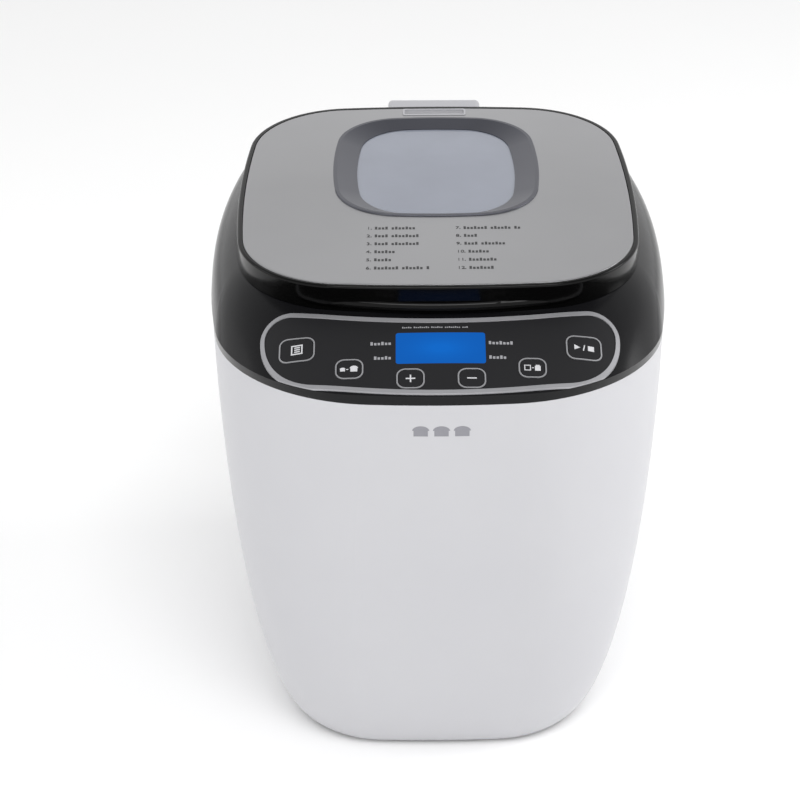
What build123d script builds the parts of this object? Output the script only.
from build123d import *
import math
import os

os.makedirs("parts", exist_ok=True)

# All sizes are in millimetres. The origin is on the table, under the middle of the
# housing. +X is the user's right, +Y points to the back, +Z is up.

# Housing: a white shell that narrows to its base, closed by a dark sloping deck.
seam_half_width = 136.8
seam_half_depth = 165.7
seam_height = 262.8
base_inset = 43.6
depth_inset_share = 0.916
lean_start = 0.65
lean_fade = 1.68
seam_bow = 530.0
base_bow = 725.0
seam_corner = 99.0
base_corner = 58.0
shell_wall = 3.0
shell_floor = 4.0
foot_stand = 2.5
seam_lip = 5.0
seam_fit = 0.25
lip_wall = 1.6

# Deck: its upper edge is the rim that the lid closes on, tilted towards the user.
deck_tilt = 3.0
deck_rise = 34.48
deck_height = seam_height + deck_rise
deck_skirt = 5.7
deck_wall = 2.5
deck_half_width = seam_half_width + 0.6
deck_roll = 3.76
slope_run = 55.4
rim_half_width = seam_half_width - 13.4
rim_front = seam_half_depth - slope_run
rim_back = seam_half_depth - 20.9
rim_bow = 400.0
rim_corner = 66.0

# Base
plate_half_width = seam_half_width - base_inset - 4.2
plate_half_depth = seam_half_depth - base_inset * depth_inset_share - 6.8
plate_corner = 42.0
plate_thickness = 2.0
plate_ledge = 6.0
foot_radius = 9.0
foot_x = plate_half_width - 21.0
foot_y = plate_half_depth - 21.0

# Baking chamber and its heat shield
chamber_y = 14.0
chamber_half_width = 88.0
chamber_half_depth = 98.0
chamber_corner = 34.0
chamber_floor = 75.0
liner_wall = 1.0
liner_flange = 7.0
shield_gap = 4.0
shield_wall = 0.6
shield_top = 250.0
mouth_overhang = 2.0

# Bread pan, its bayonet foot and the ring that holds it
pan_half_width = 64.0
pan_half_depth = 78.0
pan_corner = 28.0
pan_taper = 5.0
pan_bottom = 106.0
pan_top = 248.0
pan_wall = 2.0
pan_rim = 2.5
pan_foot_radius = 36.0
pan_foot_height = 22.0
lug_count = 4
lug_angle = 10.0
lug_reach = 4.0
lug_height = 3.0
tab_gap = 0.5
socket_wall = 3.5
socket_height = 18.0
handle_wire = 2.0
handle_pivot_drop = 12.0
handle_reach = 84.0
handle_side_gap = 4.5
handle_corner = 26.0
handle_bend = 2.4
boss_radius = 6.0
boss_gap = 0.6

# Paddle drive
shaft_radius = 4.0
running_fit = 0.05
bush_radius = 7.0
housing_radius = 11.0
paddle_reach = 42.0
paddle_hub_radius = 8.5
coupling_radius = 17.0
coupling_bar = 6.0
coupling_hub_radius = 8.0
dog_inner_radius = 11.0
dog_inside = 9.0
dog_height = 10.0
disc_thickness = 5.0
large_pulley_radius = 46.0
small_pulley_radius = 9.0
pulley_low = 34.0
pulley_width = 12.0
belt_width = 9.0
belt_thickness = 2.4
belt_gap = 0.3

# Chassis and motor
chassis_height = 62.0
chassis_sheet = 1.5
chassis_half_width = 95.0
chassis_half_depth = 128.0
chassis_y = -5.0
chassis_corner = 50.0
leg_x = 66.0
leg_width = 20.0
motor_x = -44.0
motor_y = -118.0
motor_half_width = 26.0
motor_half_depth = 21.0
motor_shaft_radius = 3.0
rotor_radius = 14.0
air_gap = 0.4
stack_low = 88.0
stack_height = 24.0
winding_height = 12.0

# Heating element
element_radius = 3.25
element_height = 112.0
element_half_width = 77.0
element_half_depth = 87.0
element_corner = 30.0
element_bend = 7.0
element_terminal_x = 14.0
element_terminal_out = 17.0
bush_wall = 2.5
collar_wall = 4.5

# Lid, in the tilted frame of the deck rim
lid_gap = 0.4
lid_height = 17.6
lid_wall = 2.5
lid_web = 2.0
steel_sheet = 1.2
steel_half_width = rim_half_width - 6.4
steel_half_depth = (rim_front + rim_back) / 2 - 5.95
steel_y = (rim_back - rim_front) / 2 - 4.65
steel_bow = 840.0
steel_corner = 60.0
lid_border = 2.8
bezel_half_width = 64.0
bezel_half_depth = 71.3
bezel_y = 47.0
bezel_bow = 312.0
bezel_corner = 39.5
bezel_lap = 1.6
bezel_proud = 0.8
pane_half_width = 49.2
pane_half_depth = 61.3
pane_shift = -0.1
pane_bow = 267.0
pane_corner = 32.0
pane_depth = 3.2
glass_thickness = 3.0
glass_seat = 1.8
seal_thickness = 0.6
liner_level = 3.0
lid_liner_sheet = 0.8
vent_half_width = 20.7
vent_back = steel_y + steel_half_depth - 1.8
vent_front = vent_back - 10.0
grip_half_width = 63.0
grip_level = 5.0
grip_radius = 2.7
grip_proud = 3.4

# Hinge
hinge_back = rim_back + 8.7
hinge_drop = 6.7
hinge_pin_radius = 2.0
knuckle_radius = 8.0
knuckle_half_width = 30.3
ear_thickness = 4.0
hinge_gap = 0.5
hinge_box_wall = 1.2
hinge_box_floor = 1.8
hinge_box_back = 6.5
hood_lip = 2.0
hood_back_radius = 9.0
hood_side_radius = 3.0

# Control panel on the deck's front slope
trim_half_width = seam_half_width - 36.8
trim_front = seam_half_depth - 2.1
trim_back = rim_front + 5.7
trim_front_bow = 370.0
trim_back_bow = 400.0
trim_front_corner = 36.0
trim_back_corner = 14.0
trim_width = 2.4
overlay_lift = 0.6
trim_lift = 1.1
key_lift = 0.9
key_gap = 0.35
key_travel = 0.5
key_corner = 3.9
ring_width = 0.8
flange_level = 8.2
flange_thickness = 1.0
flange_reach = 1.2
switch_level = 10.8
switch_half = 3.0
button_radius = 1.7
button_height = 1.0
stem_radius = 2.4
stem_gap = 0.1
board_level = 14.3
board_thickness = 1.6
panel_board_half_width = 90.0
panel_board_nose = 60.0
panel_board_back = rim_front + 8.7
panel_board_shoulder = rim_front + 28.7
panel_board_front = rim_front + 44.7
lcd_half_width = 25.0
lcd_front = rim_front + 34.1
lcd_back = rim_front + 13.5
lcd_corner = 1.5
large_key = (17.9, 14.7)
small_key = (13.3, 11.8)
key_places = {
    "menu_key": (-80.2, -rim_front - 22.1, *large_key),
    "size_key": (-50.7, -rim_front - 36.9, *small_key),
    "plus_key": (-16.9, -rim_front - 44.0, *small_key),
    "minus_key": (16.9, -rim_front - 44.0, *small_key),
    "crust_key": (50.7, -rim_front - 36.9, *small_key),
    "start_key": (80.2, -rim_front - 22.1, *large_key),
}

# Sensor and fuse
sensor_x = 30.0
sensor_height = 150.0
sensor_radius = 3.0
fuse_radius = 2.6
fuse_left = 34.0
fuse_right = 48.0
fuse_height = 150.0

# Power board, cord gland and wiring; each block on the board is given as left, right,
# front and back from the board's middle, and height
board_x = 36.0
board_y = -115.0
board_half_width = 43.0
board_half_depth = 15.5
board_height = 74.0
board_blocks = {
    "relay": (14.0, 34.0, -8.0, 8.0, 15.0),
    "transformer": (-22.0, 4.0, -12.0, 12.0, 24.0),
    "terminals": (-40.0, -26.0, -11.0, 11.0, 17.0),
}
capacitor_radius = 5.5
capacitor_height = 18.0
capacitor_x = 9.5
capacitor_y = -8.0
gland_x = -50.0
gland_height = 38.0
gland_radius = 8.0
gland_bore = 3.7
gland_flange = 2.5
gland_ring = 3.0
gland_length = 15.0
gland_proud = 1.5
lead_radius = 1.3
cable_radius = 2.4
screw_radius = 1.5
screw_head_radius = 2.8
screw_head_height = 1.5
vent_slot = 3.0
vent_pitch = 9.0

tilt_sine = math.sin(math.radians(deck_tilt))
tilt_cosine = math.cos(math.radians(deck_tilt))
rim_frame = Plane(
    origin=(0, 0, deck_height), x_dir=(1, 0, 0), z_dir=(0, -tilt_sine, tilt_cosine)
)
rim_front_height = deck_height - rim_front * math.tan(math.radians(deck_tilt))
slope_low = seam_height + deck_skirt
slope_angle = math.degrees(
    math.atan2(rim_front_height - slope_low, seam_half_depth - rim_front)
)
panel_frame = Plane(
    origin=(0, -rim_front, rim_front_height),
    x_dir=(1, 0, 0),
    z_dir=(0, -math.sin(math.radians(slope_angle)), math.cos(math.radians(slope_angle))),
)
steel_top = lid_height
web_top = lid_height - steel_sheet


def outline(half_width, half_depth, bow, corner):
    """Flat face inside four shallow arcs of radius bow, joined by rounded corners.

    The corner circle touches both bow circles from inside, so its centre is equally
    far from their two centres.
    """
    side = Vector(half_width - bow, 0)
    front = Vector(0, half_depth - bow)
    middle = (side + front) * 0.5
    across = Vector(bow - half_depth, bow - half_width).normalized()
    half_span = (side - front).length / 2
    centre = middle + across * math.sqrt((bow - corner) ** 2 - half_span**2)
    on_side = side + (centre - side).normalized() * bow
    on_front = front + (centre - front).normalized() * bow
    tip = centre + across * corner

    def mirrored(point, x_sign, y_sign):
        return (point.X * x_sign, point.Y * y_sign)

    edges = []
    for x_sign, y_sign in ((1, 1), (-1, 1), (-1, -1), (1, -1)):
        first, last = (on_side, on_front) if x_sign == y_sign else (on_front, on_side)
        edges.append(
            ThreePointArc(
                mirrored(first, x_sign, y_sign),
                mirrored(tip, x_sign, y_sign),
                mirrored(last, x_sign, y_sign),
            )
        )
        if x_sign == y_sign:
            bulge = (0, half_depth * y_sign)
            following = mirrored(on_front, -x_sign, y_sign)
        else:
            bulge = (half_width * x_sign, 0)
            following = mirrored(on_side, x_sign, -y_sign)
        edges.append(ThreePointArc(mirrored(last, x_sign, y_sign), bulge, following))
    return make_face(Wire(edges))


def slab(half_x, half_y, corner, low, high, x=0.0, y=0.0):
    """Upright block with rounded corners, from height low to height high."""
    face = Pos(x, y, low) * RectangleRounded(2 * half_x, 2 * half_y, corner)
    return extrude(face, high - low)


def block(x_low, x_high, y_low, y_high, z_low, z_high):
    """Plain block between two corners."""
    middle = Pos((x_low + x_high) / 2, (y_low + y_high) / 2, (z_low + z_high) / 2)
    return middle * Box(x_high - x_low, y_high - y_low, z_high - z_low)


def drum(radius, low, high, x=0.0, y=0.0):
    """Upright cylinder."""
    return Pos(x, y, (low + high) / 2) * Cylinder(radius, high - low)


def ring(outer, inner, low, high, x=0.0, y=0.0):
    """Upright ring."""
    return drum(outer, low, high, x, y) - drum(inner, low - 1, high + 1, x, y)


def bar_x(radius, x_low, x_high, y, z):
    """Cylinder along X."""
    return Pos((x_low + x_high) / 2, y, z) * Rot(0, 90, 0) * Cylinder(radius, x_high - x_low)


def bar_y(radius, y_low, y_high, x, z):
    """Cylinder along Y."""
    return Pos(x, (y_low + y_high) / 2, z) * Rot(90, 0, 0) * Cylinder(radius, y_high - y_low)


def frame_slab(face, low, high):
    """Face of the rim frame carried from level low to level high above the rim plane."""
    return extrude(Pos(0, 0, low) * face, high - low)


def placed(shape):
    """Shape modelled in the rim frame, put in its place on the tilted rim."""
    return rim_frame.location * shape


def group(solids):
    """Several separate solids kept together as one sub-part."""
    return Compound(children=list(solids))


# ---------------------------------------------------------------- housing


def shell_size(height):
    """Half width and half depth of the housing at a height below the seam."""
    share = (1 - (height / seam_height) ** lean_start) ** lean_fade
    inset = base_inset * share
    return seam_half_width - inset, seam_half_depth - inset * depth_inset_share


def shell_section(height, inset):
    """Horizontal section of the housing, made smaller by inset all round."""
    half_width, half_depth = shell_size(height)
    rise = height / seam_height
    bow = base_bow + (seam_bow - base_bow) * rise
    corner = base_corner + (seam_corner - base_corner) * rise
    face = outline(half_width - inset, half_depth - inset, bow - inset, corner - inset)
    return Pos(0, 0, height) * face


def shell_volume(low, inset):
    """Housing from height low to the seam; the sections lie closer near the base."""
    steps = 13
    heights = [low + (seam_height - low) * (i / steps) ** 1.3 for i in range(steps + 1)]
    return loft([shell_section(height, inset) for height in heights])


def make_outer_shell(outer):
    inner_floor = foot_stand + shell_floor
    shell = outer - shell_volume(inner_floor, shell_wall)
    opening = slab(
        plate_half_width - plate_ledge,
        plate_half_depth - plate_ledge,
        plate_corner - plate_ledge,
        0,
        inner_floor + 1,
    )
    recess = slab(
        plate_half_width,
        plate_half_depth,
        plate_corner,
        0,
        foot_stand + plate_thickness,
    )
    shell = shell - opening - recess
    back = seam_half_depth
    for i in range(-4, 5):
        for row_height in (178.0, 212.0):
            slot = block(
                i * vent_pitch - vent_slot / 2,
                i * vent_pitch + vent_slot / 2,
                back - 25,
                back + 5,
                row_height - 12,
                row_height + 12,
            )
            shell = shell - slot
    shell = shell - bar_y(gland_radius, back - 50, back, gland_x, gland_height)
    for x, y in plate_screw_places():
        shell = shell - drum(screw_radius, 0, inner_floor + 1, x, y)
    return shell


def plate_screw_places():
    """Screws through the ledge that the base plate is held by."""
    side = plate_half_width - plate_ledge / 2
    end = plate_half_depth - plate_ledge / 2
    return [(side, -45), (side, 45), (-side, -45), (-side, 45), (0, end), (0, -end)]


def make_base_plate():
    fit = 0.2
    top = foot_stand + plate_thickness
    plate = slab(
        plate_half_width - fit, plate_half_depth - fit, plate_corner - fit, foot_stand, top
    )
    for i in range(-5, 6):
        slot = slab(vent_slot / 2, 22, vent_slot / 2 - 0.05, 0, top + 1, i * vent_pitch, 0)
        plate = plate - slot
    for x in (-foot_x, foot_x):
        for y in (-foot_y, foot_y):
            plate = plate - drum(foot_radius / 2, 0, top + 1, x, y)
    for x, y in plate_screw_places():
        plate = plate - drum(screw_radius, 0, top + 1, x, y)
    return plate


def make_feet():
    feet = []
    top = foot_stand + plate_thickness
    for x in (-foot_x, foot_x):
        for y in (-foot_y, foot_y):
            pad = drum(foot_radius, 0, foot_stand, x, y)
            pad = fillet(pad.edges().group_by(Axis.Z)[0], 0.8)
            neck = drum(foot_radius / 2, foot_stand, top, x, y)
            barb = drum(foot_radius / 2 + 1, top, top + 2, x, y)
            feet.append(pad + neck + barb)
    return group(feet)


def make_case_screws():
    screws = []
    for x, y in plate_screw_places():
        head = drum(screw_head_radius, foot_stand - screw_head_height, foot_stand, x, y)
        shank = drum(screw_radius, foot_stand, foot_stand + shell_floor, x, y)
        screws.append(head + shank)
    return group(screws)


# ---------------------------------------------------------------- deck


def deck_section(share, inset, drop):
    """Section of the deck at a share of its height, tilted by the same share."""
    skirt_share = deck_skirt / (rim_front_height - seam_height)
    along = max(0.0, (share - skirt_share) / (1 - skirt_share))
    front = seam_half_depth + (rim_front - seam_half_depth) * along
    roll = 1 - share**deck_roll
    back = rim_back + (seam_half_depth - rim_back) * roll
    if share == 0:
        half_width = seam_half_width
    else:
        half_width = rim_half_width + (deck_half_width - rim_half_width) * roll
    height = seam_height + (rim_front_height - seam_height) * share
    tilt = math.radians(deck_tilt * share)
    bow = 1 / ((1 - share) / seam_bow + share / rim_bow)
    corner = seam_corner + (rim_corner - seam_corner) * share
    middle = (back - front) / 2
    plane = Plane(
        origin=(0, middle, height + (middle + front) * math.tan(tilt) - drop),
        x_dir=(1, 0, 0),
        z_dir=(0, -math.sin(tilt), math.cos(tilt)),
    )
    face = outline(
        half_width - inset, (front + back) / 2 - inset, bow - inset, corner - inset
    )
    return plane.location * face


def deck_volume(inset, drop):
    """Closed deck: a short upright skirt, then the slope up to the rim."""
    skirt_share = deck_skirt / (rim_front_height - seam_height)
    steps = 6
    shares = [skirt_share + (1 - skirt_share) * i / steps for i in range(steps + 1)]
    skirt = loft([deck_section(0, inset, drop), deck_section(skirt_share, inset, drop)])
    slope = loft([deck_section(share, inset, drop) for share in shares])
    return skirt + slope


def mouth_face(margin):
    """Outline of the chamber, grown by margin, in plan."""
    return Pos(0, chamber_y) * RectangleRounded(
        2 * (chamber_half_width + margin),
        2 * (chamber_half_depth + margin),
        chamber_corner + margin,
    )


def key_middle(name):
    """Middle of a key in the panel frame."""
    x, y = key_places[name][:2]
    return x, (y + rim_front) / math.cos(math.radians(slope_angle))


def key_face(name, margin):
    """Rounded outline of a key in the panel frame, grown by margin."""
    width, height = key_places[name][2:]
    return Pos(*key_middle(name)) * RectangleRounded(
        width + 2 * margin, height + 2 * margin, key_corner + margin
    )


def key_prism(name, margin, low, high):
    """Key outline carried square to the panel from depth low to height high."""
    face = Pos(0, 0, low) * key_face(name, margin)
    return panel_frame.location * extrude(face, high - low)


def lcd_prism(margin, low, high):
    """Upright block of the display window, grown by margin in plan."""
    middle = -(lcd_front + lcd_back) / 2
    half_depth = (lcd_front - lcd_back) / 2
    return slab(
        lcd_half_width + margin,
        half_depth + margin,
        lcd_corner + margin,
        low,
        high,
        0,
        middle,
    )


def hinge_pocket(margin):
    """Room in the deck's back edge for the hinge housing, in the rim frame."""
    half = knuckle_half_width + hinge_gap + ear_thickness + margin
    front = hinge_back - knuckle_radius - hinge_gap - hinge_box_wall - margin
    low = -hinge_drop - knuckle_radius - hinge_gap - hinge_box_floor - margin
    return block(-half, half, front, hinge_back + 30, low, 20)


def make_top_deck(outer):
    deck = outer - deck_volume(deck_wall, deck_wall)
    deck = deck + make_seam_lip()
    mouth = extrude(Pos(0, 0, deck_height - 40) * mouth_face(-mouth_overhang), 80)
    deck = deck - mouth
    deck = deck - placed(hinge_pocket(0.1))
    for name in key_places:
        deck = deck - key_prism(name, key_gap, -12, 6)
    deck = deck - lcd_prism(0.05, seam_height, deck_height)
    return deck


def make_seam_lip():
    """Lip under the deck that drops inside the housing and keeps the seam in line."""
    outside = shell_wall + seam_fit
    inside = outside + lip_wall
    lip = shell_volume(foot_stand + shell_floor, outside)
    lip = lip - shell_volume(foot_stand + shell_floor, inside)
    lip = lip & block(-300, 300, -300, 300, seam_height - seam_lip, seam_height + 1)
    web = shell_section(seam_height, deck_wall / 2) - shell_section(seam_height, inside)
    return lip + extrude(web, deck_skirt / 2)


def trim_face(margin):
    """Outline of the control panel in plan, grown by margin."""
    half = trim_half_width + margin

    def arc_y(middle, bow, x):
        return middle + bow - math.sqrt(bow**2 - x**2)

    front = -trim_front - margin
    back = -trim_back + margin
    front_left = (-half, arc_y(front, trim_front_bow, half))
    front_right = (half, front_left[1])
    back_left = (-half, arc_y(back, trim_back_bow, half))
    back_right = (half, back_left[1])
    face = make_face(
        [
            ThreePointArc(front_left, (0, front), front_right).edge(),
            Line(front_right, back_right).edge(),
            ThreePointArc(back_right, (0, back), back_left).edge(),
            Line(back_left, front_left).edge(),
        ]
    )
    corners = face.vertices().sort_by(Axis.Y)
    face = fillet(corners[:2], trim_front_corner + margin)
    corners = [v for v in face.vertices() if v.Y > back_left[1] - 0.5]
    return fillet(corners, trim_back_corner + margin)


def on_panel(face, outer, lift, base_lift=0.0):
    """Skin on the sloping deck, under a plan outline, from base_lift to lift above it."""
    column = extrude(Pos(0, 0, slope_low - 6) * face, rim_front_height - slope_low + 12)
    skin = (Pos(0, 0, lift) * outer) - (Pos(0, 0, base_lift) * outer)
    return column & skin


def make_panel_trim(outer):
    band = trim_face(trim_width / 2) - trim_face(-trim_width / 2)
    pieces = list(on_panel(band, outer, trim_lift).solids())
    skin = (Pos(0, 0, trim_lift) * outer) - (Pos(0, 0, overlay_lift) * outer)
    for name in key_places:
        rim = key_prism(name, key_gap + ring_width, -12, 6) - key_prism(name, key_gap, -13, 7)
        pieces += (rim & skin).solids()
    return group(pieces)


def make_overlay(outer):
    overlay = on_panel(trim_face(-trim_width / 2 - 0.1), outer, overlay_lift)
    for name in key_places:
        overlay = overlay - key_prism(name, key_gap, -12, 6)
    return overlay - lcd_prism(0.05, seam_height, deck_height)


def make_lcd_window(outer):
    lifted = Pos(0, 0, overlay_lift) * outer
    lowered = Pos(0, 0, -1.8) * outer
    return lcd_prism(0, seam_height, deck_height) & (lifted - lowered)


def panel_block(x_low, x_high, y_low, y_high, low, high):
    """Block square to the panel; its places along the slope are given in plan."""
    stretch = 1 / math.cos(math.radians(slope_angle))
    shape = block(
        x_low,
        x_high,
        (y_low + rim_front) * stretch,
        (y_high + rim_front) * stretch,
        low,
        high,
    )
    return panel_frame.location * shape


def make_lcd_module():
    return panel_block(
        -lcd_half_width - 5,
        lcd_half_width + 5,
        -lcd_front + 1.5,
        -lcd_back + 3,
        -board_level,
        -flange_level,
    )


def make_control_board():
    stretch = 1 / math.cos(math.radians(slope_angle))
    back = (rim_front - panel_board_back) * stretch
    front = (rim_front - panel_board_front) * stretch
    shoulder = (rim_front - panel_board_shoulder) * stretch
    corners = [
        (-panel_board_half_width, back),
        (panel_board_half_width, back),
        (panel_board_half_width, shoulder),
        (panel_board_nose, front),
        (-panel_board_nose, front),
        (-panel_board_half_width, shoulder),
    ]
    face = make_face(Polyline(corners, close=True))
    board = extrude(Pos(0, 0, -board_level - board_thickness) * face, board_thickness)
    pieces = [board]
    case_top = -switch_level - button_height
    for name in key_places:
        x, y = key_middle(name)
        case = block(
            x - switch_half,
            x + switch_half,
            y - switch_half,
            y + switch_half,
            -board_level,
            case_top,
        )
        button = drum(button_radius, case_top, -switch_level, x, y)
        pieces.append(case + button)
    return group([panel_frame.location * piece for piece in pieces])


def make_key(name, outer, under_deck):
    """Key cap with a flange that catches under the deck and a stem over its switch."""
    cap = key_prism(name, 0, -flange_level, 6)
    cap = cap & (Pos(0, 0, key_lift) * outer)
    flange = key_prism(
        name, key_gap + flange_reach, -flange_level - flange_thickness, -flange_level
    )
    flange = flange & under_deck
    stem_low = -switch_level + key_travel + stem_gap
    stem = drum(stem_radius, stem_low, -flange_level - flange_thickness, *key_middle(name))
    return cap + flange + panel_frame.location * stem


# ---------------------------------------------------------------- hinge


def make_hinge_housing():
    back = hinge_back + hinge_box_back
    outside = hinge_pocket(0) & block(-200, 200, 0, back, -60, -lid_gap)
    half = knuckle_half_width + hinge_gap
    front = hinge_back - knuckle_radius - hinge_gap
    low = -hinge_drop - knuckle_radius - hinge_gap
    room = block(-half, half, front, hinge_back + 40, low, 30)
    pin = bar_x(hinge_pin_radius, -200, 200, hinge_back, -hinge_drop)
    return placed(outside - room - pin)


def make_hinge_pin():
    half = knuckle_half_width + hinge_gap + ear_thickness
    return placed(bar_x(hinge_pin_radius, -half, half, hinge_back, -hinge_drop))


def make_hinge_cover(frame_solid):
    half = knuckle_half_width
    knuckle = bar_x(knuckle_radius, -half, half, hinge_back, -hinge_drop)
    neck = block(-half, half, hinge_back - knuckle_radius, hinge_back, -hinge_drop, 2)
    hood_front = steel_y + steel_half_depth - hood_lip
    hood = block(-half, half, hood_front, hinge_back + hood_lip, 1, web_top + 0.6)
    back_edges = hood.edges().filter_by(Axis.X).group_by(Axis.Y)[-1]
    hood = fillet(back_edges.group_by(Axis.Z)[-1], hood_back_radius)
    top_sides = hood.edges().group_by(Axis.Z)[-1].filter_by(Axis.Y)
    hood = fillet(top_sides, hood_side_radius)
    bore = bar_x(hinge_pin_radius + running_fit, -200, 200, hinge_back, -hinge_drop)
    cover = knuckle + neck + (hood - frame_solid)
    return cover - bore


# ---------------------------------------------------------------- lid


def lid_section(level, inset):
    """Section of the lid's moulded frame at a level above the rim plane."""
    rise = level / lid_height
    top_width = steel_half_width + lid_border
    top_depth = steel_half_depth + lid_border
    rim_depth = (rim_front + rim_back) / 2
    rim_middle = (rim_back - rim_front) / 2
    half_width = rim_half_width + (top_width - rim_half_width) * rise
    half_depth = rim_depth + (top_depth - rim_depth) * rise
    middle = rim_middle + (steel_y - rim_middle) * rise
    bow = rim_bow + (steel_bow - rim_bow) * rise
    corner = rim_corner + (steel_corner + lid_border - rim_corner) * rise
    face = outline(half_width - inset, half_depth - inset, bow - inset, corner - inset)
    return Pos(0, middle, level) * face


def lid_volume(low, high, inset):
    return loft([lid_section(low, inset), lid_section(high, inset)], ruled=True)


def window_face(half_width, half_depth, bow, corner, shift=0.0):
    return Pos(0, bezel_y + shift) * outline(half_width, half_depth, bow, corner)


def lid_screw_places():
    front = 40.0 - rim_front
    back = rim_back - 41.0
    side = rim_half_width - 19.4
    corner = rim_half_width - 28.0
    return [
        (-corner, front), (corner, front), (-side, 20), (side, 20), (-corner, back), (corner, back)
    ]


def vent_block(margin, low, high):
    half_depth = (vent_back - vent_front) / 2 + margin
    return slab(
        vent_half_width + margin,
        half_depth,
        1.5,
        low,
        high,
        0,
        (vent_front + vent_back) / 2,
    )


def make_lid_frame():
    outer = lid_volume(lid_gap, steel_top, 0)
    outer = fillet(outer.faces().sort_by(Axis.Z)[-1].edges(), 1.2)
    inner = lid_volume(lid_gap - 1, web_top - lid_web, lid_wall)
    bed = frame_slab(
        Pos(0, steel_y) * outline(steel_half_width, steel_half_depth, steel_bow, steel_corner),
        web_top,
        steel_top + 5,
    )
    frame = outer - inner - bed
    window = window_face(
        bezel_half_width - bezel_lap, bezel_half_depth - bezel_lap, bezel_bow, bezel_corner - 1
    )
    frame = frame - frame_slab(window, lid_gap, steel_top)
    frame = frame - vent_block(0, lid_gap, steel_top)
    web_low = web_top - lid_web
    for x, y in lid_screw_places():
        boss = drum(4, liner_level + lid_liner_sheet, web_low + 0.1, x, y)
        frame = frame + (boss - drum(screw_radius - 0.1, 0, web_low - 2, x, y))
    return frame + make_grip()


def make_grip():
    """Finger lip: a stretch of a round ring that sinks into the lid at both its ends.

    Its bow is tighter than the bow of the lid's front at the same level.
    """
    lid_bow = rim_bow + (steel_bow - rim_bow) * grip_level / lid_height
    bow = 1 / (1 / lid_bow + 2 * grip_proud / grip_half_width**2)
    whole = Torus(bow - grip_radius, grip_radius)
    lip = Pos(0, bow - grip_proud - rim_front, grip_level) * whole
    reach = grip_half_width + 10
    lip = lip & block(-reach, reach, -rim_front - 10, -rim_front + 12, lid_gap, lid_height)
    return lip - lid_volume(lid_gap, steel_top, 0.6)


def make_lid_plate():
    face = Pos(0, steel_y) * outline(
        steel_half_width - 0.1, steel_half_depth - 0.1, steel_bow, steel_corner
    )
    plate = frame_slab(face, web_top, steel_top)
    plate = fillet(plate.faces().sort_by(Axis.Z)[-1].edges(), 1.0)
    window = window_face(
        bezel_half_width - bezel_lap, bezel_half_depth - bezel_lap, bezel_bow, bezel_corner - 1
    )
    plate = plate - frame_slab(window, 0, steel_top + 5)
    return plate - vent_block(0, 0, steel_top + 5)


def pane_face(margin):
    return window_face(
        pane_half_width + margin,
        pane_half_depth + margin,
        pane_bow,
        pane_corner + margin,
        pane_shift,
    )


def make_window_bezel():
    top = steel_top + bezel_proud
    seat = steel_top - pane_depth
    low = seat - seal_thickness - glass_thickness
    outside = window_face(bezel_half_width, bezel_half_depth, bezel_bow, bezel_corner)
    flange = frame_slab(outside, steel_top, top)
    flange = fillet(flange.faces().sort_by(Axis.Z)[-1].edges(), 0.6)
    body_face = window_face(
        bezel_half_width - bezel_lap - 0.1,
        bezel_half_depth - bezel_lap - 0.1,
        bezel_bow,
        bezel_corner - 1,
    )
    body = frame_slab(body_face, low, steel_top)
    cone_top = Pos(0, 0, top) * window_face(
        bezel_half_width - 2.4, bezel_half_depth - 2.4, bezel_bow, bezel_corner - 2
    )
    cone_low = Pos(0, 0, seat) * pane_face(0)
    cone = loft([cone_low, cone_top])
    opening = frame_slab(pane_face(0), low - 1, seat + 0.1)
    pocket = frame_slab(pane_face(glass_seat), low - 1, seat - seal_thickness)
    groove = frame_slab(pane_face(glass_seat), seat - seal_thickness - 0.1, seat - 0.4)
    return flange + body - cone - opening - pocket - groove


def make_window_seal():
    seat = steel_top - pane_depth
    face = pane_face(glass_seat - 0.05) - pane_face(0.1)
    return frame_slab(face, seat - seal_thickness, seat - 0.4)


def make_window_outer():
    top = steel_top - pane_depth - seal_thickness
    return frame_slab(pane_face(glass_seat - 0.1), top - glass_thickness, top)


def make_window_inner():
    low = liner_level + lid_liner_sheet
    return frame_slab(pane_face(3.5), low, low + glass_thickness - 1)


def make_lid_liner():
    low = liner_level
    high = low + lid_liner_sheet
    sheet = frame_slab(Pos(0, 0, -low) * lid_section(low, lid_wall + 2.2), low, high)
    dish = slab(
        chamber_half_width - 5, chamber_half_depth - 5, chamber_corner - 5, -4, low, 0, chamber_y
    )
    hollow = slab(
        chamber_half_width - 5 - lid_liner_sheet,
        chamber_half_depth - 5 - lid_liner_sheet,
        chamber_corner - 5 - lid_liner_sheet,
        -5,
        high + 1,
        0,
        chamber_y,
    )
    sheet = sheet + (dish - hollow)
    sheet = sheet - frame_slab(pane_face(-1), -10, high + 1)
    for x, y in lid_screw_places():
        sheet = sheet - drum(screw_radius, 0, 10, x, y)
    return sheet


def make_lid_screws():
    screws = []
    for x, y in lid_screw_places():
        head = drum(screw_head_radius, liner_level - screw_head_height, liner_level, x, y)
        shank = drum(screw_radius - 0.1, liner_level, liner_level + 6, x, y)
        screws.append(placed(head + shank))
    return group(screws)


def make_vent_insert():
    low = web_top - lid_web
    high = steel_top + 0.4
    insert = vent_block(-0.1, low, high) - vent_block(-1.3, low - 1, high + 1)
    for i in range(4):
        y = vent_front + 2.4 + i * 1.9
        louvre = block(-vent_half_width + 1, vent_half_width - 1, y, y + 0.8, low + 0.4, high - 0.5)
        insert = insert + louvre
    return placed(insert)


# ---------------------------------------------------------------- chamber


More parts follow.
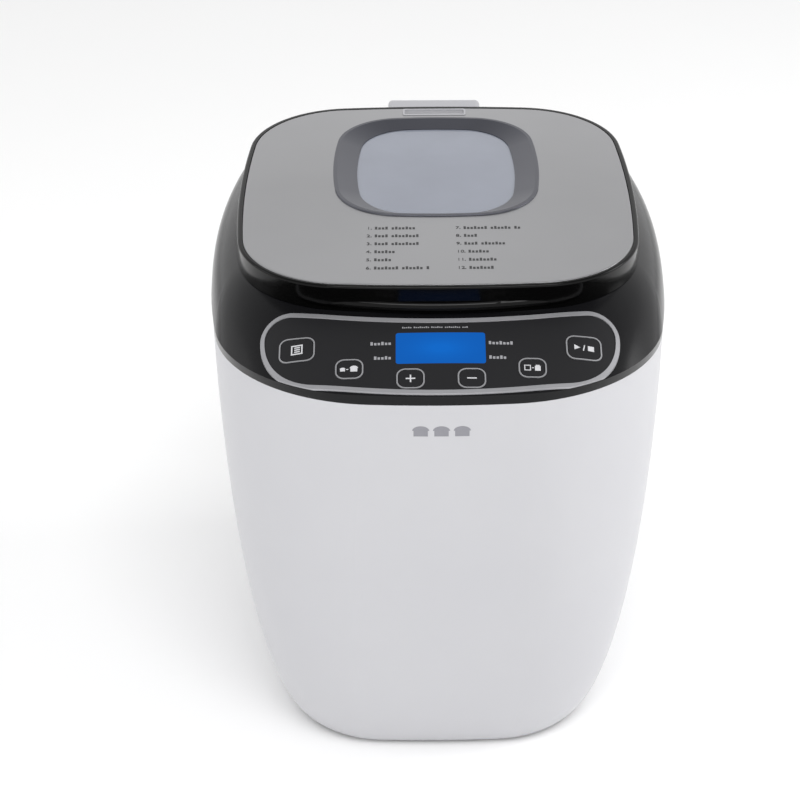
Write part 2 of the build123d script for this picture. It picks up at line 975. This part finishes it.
def make_chamber_liner():
    under_deck = -deck_wall - 0.1
    tall = extrude(Pos(0, 0, chamber_floor) * mouth_face(liner_wall), 260)
    room = extrude(Pos(0, 0, chamber_floor + liner_wall) * mouth_face(0), 260)
    above = placed(block(-300, 300, -300, 300, under_deck, 400))
    walls = tall - room - above
    flange_face = mouth_face(liner_flange) - mouth_face(liner_wall)
    flange = extrude(Pos(0, 0, deck_height - 30) * flange_face, 60)
    flange = flange & placed(block(-300, 300, -300, 300, under_deck - liner_wall, under_deck))
    liner = walls + flange
    liner = liner - drum(housing_radius + 1, 0, chamber_floor + 5, 0, chamber_y)
    back = chamber_y + chamber_half_depth
    for x in (-element_terminal_x, element_terminal_x):
        liner = liner - bar_y(element_radius + bush_wall, back - 4, back + 8, x, element_height)
    front = chamber_y - chamber_half_depth
    return liner - bar_y(sensor_radius, front - 8, front + 4, sensor_x, sensor_height)


def make_heat_shield():
    margin = liner_wall + shield_gap
    low = chassis_height + chassis_sheet
    outside = extrude(Pos(0, 0, low) * mouth_face(margin + shield_wall), shield_top - low)
    inside = extrude(Pos(0, 0, low - 1) * mouth_face(margin), shield_top - low + 2)
    shield = outside - inside
    back = chamber_y + chamber_half_depth
    for x in (-element_terminal_x, element_terminal_x):
        shield = shield - bar_y(element_radius + 4, back, back + 12, x, element_height)
    front = chamber_y - chamber_half_depth
    return shield - bar_y(sensor_radius + 2, front - 12, front, sensor_x, sensor_height)


def make_heating_element():
    back = chamber_y + element_half_depth
    front = chamber_y - element_half_depth
    end = chamber_y + chamber_half_depth + element_terminal_out
    side = element_half_width
    inner = element_terminal_x
    level = element_height
    path = FilletPolyline(
        [
            (inner, end, level),
            (inner, back, level),
            (side, back, level),
            (side, front, level),
            (-side, front, level),
            (-side, back, level),
            (-inner, back, level),
            (-inner, end, level),
        ],
        radius=[element_bend] + [element_corner] * 4 + [element_bend],
    )
    section = Plane(origin=path @ 0, z_dir=path % 0) * Circle(element_radius)
    return sweep(section, path=path)


def make_element_bushes():
    back = chamber_y + chamber_half_depth
    bushes = []
    for x in (-element_terminal_x, element_terminal_x):
        neck = bar_y(element_radius + bush_wall, back - 2, back + 3.5, x, element_height)
        collar = bar_y(element_radius + collar_wall, back - 3.5, back, x, element_height)
        bore = bar_y(element_radius, back - 10, back + 10, x, element_height)
        bushes.append(neck + collar - bore)
    return group(bushes)


def make_temperature_sensor():
    front = chamber_y - chamber_half_depth
    probe = bar_y(sensor_radius, front - 4, front + 7, sensor_x, sensor_height)
    collar = bar_y(
        sensor_radius + 1.2, front - 3.6, front - liner_wall, sensor_x, sensor_height
    )
    return probe + collar


def make_thermal_fuse():
    wall = chamber_y + chamber_half_depth + liner_wall + shield_gap + shield_wall
    level = fuse_height
    middle = (fuse_left + fuse_right) / 2
    body = bar_x(fuse_radius, fuse_left, fuse_right, wall + fuse_radius + 0.8, level)
    clip = block(middle - 3, middle + 3, wall, wall + 1, level - 6, level + 6)
    tongue = block(middle - 2, middle + 2, wall + 1, wall + 3, level - 1, level + 1)
    return group([body, clip + (tongue - body)])


def bayonet(radius_low, radius_high, angle, low, high):
    """Blocks spaced round the pan's axis, each a short arc wide."""
    half = math.radians(angle / 2)
    blocks = []
    for i in range(lug_count):
        turn = 45 + 360 / lug_count * i
        wide = radius_high * math.sin(half)
        piece = block(radius_low - 1, radius_high + 1, -wide, wide, low, high)
        sector = ring(radius_high, radius_low, low, high)
        blocks.append(Pos(0, chamber_y, 0) * Rot(0, 0, turn) * (piece & sector))
    return blocks


def make_pan_socket():
    low = chamber_floor + liner_wall
    inner = pan_foot_radius + lug_reach + 1
    socket = ring(inner + socket_wall, inner, low, low + socket_height, 0, chamber_y)
    socket = socket + ring(inner + 9, inner - 8, low, low + 2.5, 0, chamber_y)
    tab_low = pan_bottom - pan_foot_height + 2 + lug_height + tab_gap
    for tab in bayonet(pan_foot_radius + 1, inner + 0.5, lug_angle + 1, tab_low, tab_low + 3):
        socket = socket + tab
    return socket


def make_bearing_housing():
    top = chamber_floor + 5
    tube = ring(housing_radius, bush_radius, chassis_height - 12, top, 0, chamber_y)
    low = chassis_height + chassis_sheet
    return tube + ring(housing_radius + 11, housing_radius - 1, low, low + 3, 0, chamber_y)


def make_shaft_bushes():
    top = chamber_floor + 5
    low = chassis_height - 12
    bore = shaft_radius + running_fit
    upper = ring(bush_radius, bore, top - 8, top, 0, chamber_y)
    lower = ring(bush_radius, bore, low, low + 8, 0, chamber_y)
    return group([upper, lower])


# ---------------------------------------------------------------- chassis and motor


def make_chassis():
    low = chassis_height
    top = low + chassis_sheet
    plate = slab(
        chassis_half_width, chassis_half_depth, chassis_corner, low, top, 0, chassis_y
    )
    plate = plate - drum(housing_radius, low - 1, top + 1, 0, chamber_y)
    plate = plate - drum(motor_shaft_radius + 3, low - 1, top + 1, motor_x, motor_y)
    floor = foot_stand + plate_thickness
    for x_sign in (-1, 1):
        for y in (-76, 80):
            x = leg_x * x_sign
            leg = block(
                min(x, x + chassis_sheet * x_sign),
                max(x, x + chassis_sheet * x_sign),
                y - leg_width / 2,
                y + leg_width / 2,
                floor,
                low,
            )
            toe = block(
                min(x, x - 12 * x_sign),
                max(x, x - 12 * x_sign),
                y - leg_width / 2,
                y + leg_width / 2,
                floor,
                floor + chassis_sheet,
            )
            plate = plate + leg + toe
            plate = plate + drum(4, top, chamber_floor, 58 * x_sign, chamber_y + y * 0.8)
    return plate


def motor_pillars(low, high):
    """Corner pillars that hold the stack of laminations."""
    pillars = []
    for x_sign in (-1, 1):
        for y_sign in (-1, 1):
            x = motor_x + x_sign * (motor_half_width - 3.5)
            y = motor_y + y_sign * (motor_half_depth - 3.5)
            pillars.append(drum(3, low, high, x, y))
    return pillars


def make_motor_brackets():
    low = chassis_height + chassis_sheet
    stack_high = stack_low + stack_height
    top = stack_high + winding_height + 3
    bore = motor_shaft_radius + running_fit
    brackets = []
    for plate_low, plate_high, pillar_low, pillar_high in (
        (low, low + 3, low + 3, stack_low),
        (top, top + 3, stack_high, top),
    ):
        bracket = slab(
            motor_half_width, motor_half_depth, 12, plate_low, plate_high, motor_x, motor_y
        )
        bracket = bracket + drum(7, plate_low, plate_high + 3, motor_x, motor_y)
        for pillar in motor_pillars(pillar_low, pillar_high):
            bracket = bracket + pillar
        brackets.append(bracket - drum(bore, 0, 200, motor_x, motor_y))
    return group(brackets)


def make_motor_stator():
    stack = slab(
        motor_half_width,
        motor_half_depth,
        4,
        stack_low,
        stack_low + stack_height,
        motor_x,
        motor_y,
    )
    return stack - drum(rotor_radius + air_gap, 0, 200, motor_x, motor_y)


def make_motor_windings():
    coils = []
    for low in (stack_low - winding_height, stack_low + stack_height):
        coil = slab(
            motor_half_width - 7.5,
            motor_half_depth - 2.5,
            7,
            low,
            low + winding_height,
            motor_x,
            motor_y,
        )
        for pillar in motor_pillars(low - 1, low + winding_height + 1):
            coil = coil - pillar
        coils.append(coil - drum(rotor_radius + 1.2, 0, 200, motor_x, motor_y))
    return group(coils)


def make_motor_rotor():
    low = stack_low - 1.5
    high = stack_low + stack_height + 1.5
    core = ring(rotor_radius, motor_shaft_radius, low, high, motor_x, motor_y)
    shaft_top = stack_low + stack_height + winding_height + 12
    shaft = drum(motor_shaft_radius, pulley_low - 2, shaft_top, motor_x, motor_y)
    return group([core, shaft])


def make_small_pulley():
    low = pulley_low
    high = low + pulley_width
    pulley = drum(small_pulley_radius, low, high, motor_x, motor_y)
    pulley = pulley + drum(small_pulley_radius + 4, low, low + 1, motor_x, motor_y)
    pulley = pulley + drum(small_pulley_radius + 4, high - 1, high, motor_x, motor_y)
    return pulley - drum(motor_shaft_radius, low - 1, high + 1, motor_x, motor_y)


def make_large_pulley():
    low = pulley_low
    high = low + pulley_width
    rim = ring(large_pulley_radius, large_pulley_radius - 4, low, high, 0, chamber_y)
    web = ring(large_pulley_radius - 3, shaft_radius + 5, low + 4, low + 7, 0, chamber_y)
    hub = ring(shaft_radius + 6, shaft_radius, low, high + 2, 0, chamber_y)
    pulley = rim + web + hub
    for i in range(6):
        hole = Rot(0, 0, 60 * i) * drum(7, low, high, 26, 0)
        pulley = pulley - Pos(0, chamber_y, 0) * hole
    return pulley


def belt_face(growth):
    """Area inside an open belt round both pulleys, at growth outside their rims."""
    big = large_pulley_radius + growth
    small = small_pulley_radius + growth
    far = Vector(motor_x, motor_y - chamber_y)
    spread = math.acos((big - small) / far.length)
    heading = math.atan2(far.Y, far.X)

    def at(centre_x, centre_y, radius, angle):
        return (centre_x + radius * math.cos(angle), centre_y + radius * math.sin(angle))

    big_left = at(0, chamber_y, big, heading + spread)
    big_right = at(0, chamber_y, big, heading - spread)
    small_left = at(motor_x, motor_y, small, heading + spread)
    small_right = at(motor_x, motor_y, small, heading - spread)
    return make_face(
        [
            Line(big_left, small_left).edge(),
            ThreePointArc(
                small_left, at(motor_x, motor_y, small, heading), small_right
            ).edge(),
            Line(small_right, big_right).edge(),
            ThreePointArc(
                big_right, at(0, chamber_y, big, heading + math.pi), big_left
            ).edge(),
        ]
    )


def make_drive_belt():
    low = pulley_low + (pulley_width - belt_width) / 2
    band = belt_face(belt_gap + belt_thickness) - belt_face(belt_gap)
    return extrude(Pos(0, 0, low) * band, belt_width)


# ---------------------------------------------------------------- drive


coupling_low = pan_bottom - pan_foot_height


def make_drive_shaft():
    return drum(shaft_radius, pulley_low - 2, coupling_low + 5, 0, chamber_y)


def make_drive_coupling():
    low = coupling_low
    top = low + disc_thickness
    disc = ring(coupling_radius, shaft_radius, low, top, 0, chamber_y)
    dogs = ring(coupling_radius, dog_inner_radius, top, top + dog_height)
    half = coupling_bar / 2
    for x_sign in (-1, 1):
        ends = sorted((x_sign * dog_inside, x_sign * (coupling_radius + 3)))
        side = block(ends[0], ends[1], -half, half, low, top + dog_height + 5)
        disc = disc + Pos(0, chamber_y, 0) * (dogs & side)
    return disc


def make_pan_coupling():
    low = coupling_low + 6.5
    hub = drum(coupling_hub_radius, low, low + 9.5)
    wings = block(
        -coupling_bar / 2, coupling_bar / 2, -coupling_radius, coupling_radius, low, low + 8
    )
    piece = hub + (wings & drum(coupling_radius, 0, 200))
    return Pos(0, chamber_y, 0) * (piece - drum(shaft_radius, 0, 200))


def make_pan_shaft():
    return drum(shaft_radius, coupling_low + 6.5, pan_bottom + 27, 0, chamber_y)


def make_kneading_paddle():
    low = pan_bottom + 7
    hub = drum(paddle_hub_radius, low, low + 19)
    crown = drum(paddle_hub_radius - 1.5, low + 19, low + 22)
    blade_profile = make_face(
        Polyline(
            [
                (0, 0),
                (paddle_reach - 4, 0),
                (paddle_reach, 6),
                (paddle_reach - 8, 20),
                (10, 15),
                (0, 15),
            ],
            close=True,
        )
    )
    upright = Plane(origin=(0, 0, low), x_dir=(1, 0, 0), z_dir=(0, -1, 0))
    blade = extrude(upright.location * blade_profile, 2, both=True)
    blade = fillet(blade.edges().filter_by(Axis.Y), 2.5)
    paddle = hub + crown + blade
    bore = drum(shaft_radius, 0, pan_bottom + 27)
    return Pos(0, chamber_y, 0) * (paddle - bore)


# ---------------------------------------------------------------- pan


def pan_volume(low, high, inset):
    """Tapered, rounded box, from the pan's floor level low to height high."""

    def section(height):
        shrink = inset + pan_taper * (pan_top - height) / (pan_top - pan_bottom)
        return Pos(0, chamber_y, height) * RectangleRounded(
            2 * (pan_half_width - shrink),
            2 * (pan_half_depth - shrink),
            pan_corner - shrink / 2 - inset / 2,
        )

    return loft([section(low), section(high)])


def make_bread_pan():
    outer = pan_volume(pan_bottom, pan_top, 0)
    outer = fillet(outer.faces().sort_by(Axis.Z)[0].edges(), 6)
    inner = pan_volume(pan_bottom + pan_wall + 0.5, pan_top + 1, pan_wall)
    inner = fillet(inner.faces().sort_by(Axis.Z)[0].edges(), 5)
    lip = slab(
        pan_half_width + pan_rim,
        pan_half_depth + pan_rim,
        pan_corner + pan_rim,
        pan_top - 2,
        pan_top,
        0,
        chamber_y,
    )
    lip = fillet(lip.edges().group_by(Axis.Z)[-1], 0.9)
    return outer + lip - inner - drum(9, pan_bottom - 5, pan_bottom + 10, 0, chamber_y)


def make_pan_foot():
    low = pan_bottom - pan_foot_height
    skirt = ring(pan_foot_radius, pan_foot_radius - 2.5, low, pan_bottom, 0, chamber_y)
    disc = ring(pan_foot_radius - 1, 9, pan_bottom - 3, pan_bottom, 0, chamber_y)
    foot = skirt + disc
    for lug in bayonet(
        pan_foot_radius - 0.5, pan_foot_radius + lug_reach, lug_angle, low + 2, low + 2 + lug_height
    ):
        foot = foot + lug
    return foot


def make_pan_bush():
    bush = ring(9, shaft_radius + running_fit, pan_bottom - 4, pan_bottom + 3.5, 0, chamber_y)
    return bush + ring(11, 8, pan_bottom + 2.5, pan_bottom + 3.5, 0, chamber_y)


def make_pan_seal():
    level = pan_bottom + 3.5
    return ring(7.5, shaft_radius + 0.1, level, level + 1.6, 0, chamber_y)


def make_handle_bosses():
    pivot = pan_top - handle_pivot_drop
    outside = pan_half_width + handle_side_gap
    body = pan_volume(pan_bottom, pan_top + 20, 0)
    bosses = []
    for x_sign in (-1, 1):
        ends = sorted((x_sign * (pan_half_width - 4), x_sign * (outside - boss_gap)))
        boss = bar_x(boss_radius, ends[0], ends[1], chamber_y, pivot) - body
        bore = sorted((x_sign * (pan_half_width + boss_gap), x_sign * (outside + 20)))
        hole = bar_x(handle_wire + running_fit, bore[0], bore[1], chamber_y, pivot)
        bosses.append(boss - hole)
    return group(bosses)


def make_pan_handle():
    pivot = pan_top - handle_pivot_drop
    arm = pan_half_width + handle_side_gap + handle_wire
    front = chamber_y - handle_reach
    stub = pan_half_width + 1
    path = FilletPolyline(
        [
            (stub, chamber_y, pivot),
            (arm, chamber_y, pivot),
            (arm, front, pivot),
            (-arm, front, pivot),
            (-arm, chamber_y, pivot),
            (-stub, chamber_y, pivot),
        ],
        radius=[handle_bend, handle_corner, handle_corner, handle_bend],
    )
    section = Plane(origin=path @ 0, z_dir=path % 0) * Circle(handle_wire)
    return sweep(section, path=path)


# ---------------------------------------------------------------- electrics


def make_power_board():
    top = board_height + board_thickness
    board = slab(board_half_width, board_half_depth, 2, board_height, top, board_x, board_y)
    pieces = [board]
    for left, right, front, back, height in board_blocks.values():
        pieces.append(
            block(
                board_x + left,
                board_x + right,
                board_y + front,
                board_y + back,
                top,
                top + height,
            )
        )
    capacitor_top = top + capacitor_height
    pieces.append(
        drum(capacitor_radius, top, capacitor_top, board_x + capacitor_x, board_y + capacitor_y)
    )
    for x_sign in (-1, 1):
        for y_sign in (-1, 1):
            x = board_x + x_sign * (board_half_width - 4)
            y = board_y + y_sign * (board_half_depth - 3)
            low = chassis_height + chassis_sheet
            pieces.append(drum(2, low, board_height, x, y))
    return group(pieces)


def bend_radii(points):
    """Radius at each corner of a route: 0.45 of the shorter run over tan(half turn)."""
    radii = []
    for before, here, after in zip(points, points[1:], points[2:]):
        run_in = Vector(*here) - Vector(*before)
        run_out = Vector(*after) - Vector(*here)
        turn = math.radians(run_in.get_angle(run_out))
        shorter = min(run_in.length, run_out.length)
        radii.append(0.45 * shorter / math.tan(turn / 2))
    return radii


def make_wire(points, radius):
    """Round wire that follows a route with rounded bends."""
    path = FilletPolyline(points, radius=bend_radii(points))
    section = Plane(origin=path @ 0, z_dir=path % 0) * Circle(radius)
    return sweep(section, path=path)


def make_power_leads():
    end_y = chamber_y + chamber_half_depth + element_terminal_out
    near = element_terminal_x
    first = [
        (near, end_y + 1.5, element_height),
        (near + 8, end_y + 10, element_height - 5),
        (near + 35, end_y + 7, element_height - 16),
        (near + 68, end_y - 12, element_height - 24),
        (103, 70, 84),
        (106, 18, 80),
        (104, -34, 81),
        (95, -80, 85),
        (80, -101, 82),
        (74, -106, board_height + board_thickness + 1.4),
    ]
    second = [
        (-near, end_y + 1.5, element_height),
        (-near + 8, end_y + 9, element_height + 4),
        (near + 20, end_y + 12, element_height - 2),
        (near + 62, end_y - 4, element_height - 14),
        (104, 74, 92),
        (107, 18, 88),
        (105, -34, 89),
        (97, -78, 93),
        (78, -96, 94),
        (66, -104, 92),
    ]
    top = stack_low + stack_height
    motor = [
        (motor_x + motor_half_width - 6, motor_y + 4, top + 6),
        (motor_x + motor_half_width + 8, motor_y + 6, top + 8),
        (motor_x + motor_half_width + 17, motor_y + 5, top - 4),
        (board_x - 33, board_y + 1, board_height + board_thickness + 18.4),
    ]
    return group([make_wire(points, lead_radius) for points in (first, second, motor)])


def make_signal_cable():
    points = [
        (30, -117, 262),
        (32, -106, 246),
        (37, -102, 212),
        (41, -104, 172),
        (38, -102, 132),
        (43, -105, 105),
        (46, -112, 92),
        (47.5, -114, board_height + board_thickness + 2),
    ]
    return make_wire(points, cable_radius)


def make_cord_gland():
    outside = shell_size(gland_height)[1] + gland_proud
    inside = outside - gland_length
    wide = gland_radius + gland_flange
    body = bar_y(gland_radius, inside, outside, gland_x, gland_height)
    head = bar_y(wide, outside, outside + gland_ring, gland_x, gland_height)
    nut = bar_y(wide, inside, inside + gland_ring, gland_x, gland_height)
    return body + head + nut - bar_y(gland_bore, 0, 400, gland_x, gland_height)


# ---------------------------------------------------------------- all sub-parts


def save(name, shape):
    export_step(shape, "parts/" + name + ".step")


shell_outer = shell_volume(foot_stand, 0)
deck_outer = deck_volume(0, 0)
deck_room = deck_volume(deck_wall + key_gap, deck_wall + key_gap)
lid_solid = lid_volume(lid_gap, steel_top, 0)

save("outer_shell", make_outer_shell(shell_outer))
save("base_plate", make_base_plate())
save("rubber_feet", make_feet())
save("case_screws", make_case_screws())
save("top_deck", make_top_deck(deck_outer))
save("panel_trim", make_panel_trim(deck_outer))
save("control_overlay", make_overlay(deck_outer))
save("lcd_window", make_lcd_window(deck_outer))
save("lcd_module", make_lcd_module())
save("control_board", make_control_board())
for key_name in key_places:
    save(key_name, make_key(key_name, deck_outer, deck_room))

save("hinge_housing", make_hinge_housing())
save("hinge_pin", make_hinge_pin())
save("hinge_cover", placed(make_hinge_cover(lid_solid)))
save("lid_frame", placed(make_lid_frame()))
save("lid_plate", placed(make_lid_plate()))
save("window_bezel", placed(make_window_bezel()))
save("window_seal", placed(make_window_seal()))
save("window_outer", placed(make_window_outer()))
save("window_inner", placed(make_window_inner()))
save("lid_liner", placed(make_lid_liner()))
save("lid_screws", make_lid_screws())
save("vent_insert", make_vent_insert())

save("chamber_liner", make_chamber_liner())
save("heat_shield", make_heat_shield())
save("heating_element", make_heating_element())
save("element_bushes", make_element_bushes())
save("temperature_sensor", make_temperature_sensor())
save("thermal_fuse", make_thermal_fuse())
save("pan_socket", make_pan_socket())
save("bearing_housing", make_bearing_housing())
save("shaft_bushes", make_shaft_bushes())

save("chassis", make_chassis())
save("motor_brackets", make_motor_brackets())
save("motor_stator", make_motor_stator())
save("motor_windings", make_motor_windings())
save("motor_rotor", make_motor_rotor())
save("small_pulley", make_small_pulley())
save("large_pulley", make_large_pulley())
save("drive_belt", make_drive_belt())
save("drive_shaft", make_drive_shaft())
save("drive_coupling", make_drive_coupling())
save("pan_coupling", make_pan_coupling())
save("pan_shaft", make_pan_shaft())
save("kneading_paddle", make_kneading_paddle())
save("bread_pan", make_bread_pan())
save("pan_foot", make_pan_foot())
save("pan_bush", make_pan_bush())
save("pan_seal", make_pan_seal())
save("handle_bosses", make_handle_bosses())
save("pan_handle", make_pan_handle())

save("power_board", make_power_board())
save("power_leads", make_power_leads())
save("signal_cable", make_signal_cable())
save("cord_gland", make_cord_gland())
